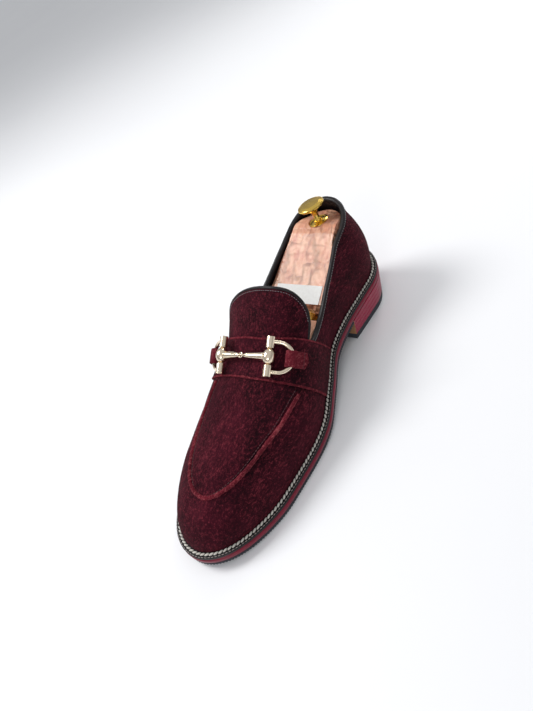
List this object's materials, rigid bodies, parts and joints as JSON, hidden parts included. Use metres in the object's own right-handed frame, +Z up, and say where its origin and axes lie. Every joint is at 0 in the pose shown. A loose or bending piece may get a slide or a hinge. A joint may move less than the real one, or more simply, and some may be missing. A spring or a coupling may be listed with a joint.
{
  "type": "slip-on dress shoe",
  "caption": "Suede slip-on dress shoe for the right foot, with a raised apron seam, a strap with a snaffle bit and a stacked heel, on a sprung wooden shoe tree.",
  "frame": {"origin": "on the ground, under the middle of the shoe's box", "axes": "+Z up, +Y from the toe to the heel, +X towards the inner side of the foot"},
  "size_m": [0.1091, 0.296, 0.1077],
  "materials": {
    "sole_rubber": "matt",
    "sole_leather": "polished",
    "welt_leather": "satin",
    "rope_thread": "matt",
    "cork": "matt",
    "steel": "plain",
    "insole_leather": "matt",
    "black_leather": "satin",
    "suede": "napped",
    "suede_edge": "napped",
    "board": "matt",
    "bit_metal": "polished, pale",
    "wood": "sanded",
    "brass": "polished",
    "paper": "matt"
  },
  "bodies": {
    "shoe": {"outsole_rubber": "sole_rubber", "midsole": "sole_leather", "welt": "welt_leather", "welt_stitching": "rope_thread", "cork_filler": "cork", "shank": "steel", "insole_board": "insole_leather", "sock_liner": "black_leather", "heel_lift_1": "sole_leather", "heel_lift_2": "sole_leather", "heel_lift_3": "sole_leather", "heel_lift_4": "sole_leather", "top_lift": "sole_rubber", "heel_nails": "steel", "vamp": "suede", "apron": "suede", "apron_seam": "suede_edge", "quarter_lateral": "suede", "quarter_medial": "suede", "back_strap": "suede", "topline_binding": "black_leather", "strap": "suede", "keeper_medial": "suede_edge", "keeper_lateral": "suede_edge", "toe_puff": "board", "heel_counter": "board", "vamp_lining": "black_leather", "quarter_lining": "black_leather", "tree_forepart": "wood", "wing_pins": "brass", "wing_springs": "steel", "tree_tube_medial": "brass", "tree_tube_lateral": "brass", "heel_springs": "steel"},
    "tongue": {"tongue_tab": "suede", "tongue_lining": "black_leather", "tongue_binding": "black_leather"},
    "bit_ring_medial": {"ring_medial": "bit_metal"},
    "bit_ring_lateral": {"ring_lateral": "bit_metal"},
    "bit_bar_medial": {"bar_medial": "bit_metal"},
    "bit_bar_lateral": {"bar_lateral": "bit_metal"},
    "tree_heel": {"tree_heel_block": "wood", "knob": "brass", "knob_rosette": "brass", "knob_screw": "steel", "paper_label": "paper"},
    "tree_toe": {"tree_toe_wing": "wood"}
  },
  "joints": [
    {"name": "tongue_flex", "type": "hinge", "parent": "shoe", "child": "tongue", "pos_m": [0.00704, 0.001, 0.07634], "axis": [1, 0, 0], "range_deg": [0, 12], "stiffness_Nm_per_rad": 0.06},
    {"name": "ring_medial_play", "type": "slide", "parent": "shoe", "child": "bit_ring_medial", "axis": [-0.8362, -0.35, 0.4222], "range_m": [0, 0.0009]},
    {"name": "ring_lateral_play", "type": "slide", "parent": "shoe", "child": "bit_ring_lateral", "axis": [0.8674, -0.1644, 0.4697], "range_m": [0, 0.0009]},
    {"name": "bar_medial_turn", "type": "hinge", "parent": "bit_ring_medial", "child": "bit_bar_medial", "pos_m": [0.02149, -0.01201, 0.07229], "axis": [-0.1076, 0.8596, 0.4996], "range_deg": [0, 8.43]},
    {"name": "bar_lateral_turn", "type": "hinge", "parent": "bit_ring_lateral", "child": "bit_bar_lateral", "pos_m": [-0.02324, -0.0157, 0.069], "axis": [0.1076, -0.8596, -0.4996], "range_deg": [0, 8.43]},
    {"name": "tree_heel_press", "type": "slide", "parent": "shoe", "child": "tree_heel", "axis": [0, -0.9962, -0.0872], "range_m": [0, 0.008], "stiffness_N_per_m": 1500, "springref_m": -0.01, "deforming": ["heel_springs"]},
    {"name": "tree_toe_squeeze", "type": "slide", "parent": "shoe", "child": "tree_toe", "axis": [-1, 0, 0], "range_m": [0, 0.0025], "stiffness_N_per_m": 800, "springref_m": -0.002, "deforming": ["wing_springs"]}
  ],
  "couplings": [
    {"joint": "ring_lateral_play", "follows": "ring_medial_play", "ratio": 1},
    {"joint": "bar_medial_turn", "follows": "ring_medial_play", "rad_per_m": 163.48},
    {"joint": "bar_lateral_turn", "follows": "ring_medial_play", "rad_per_m": 163.48}
  ]
}
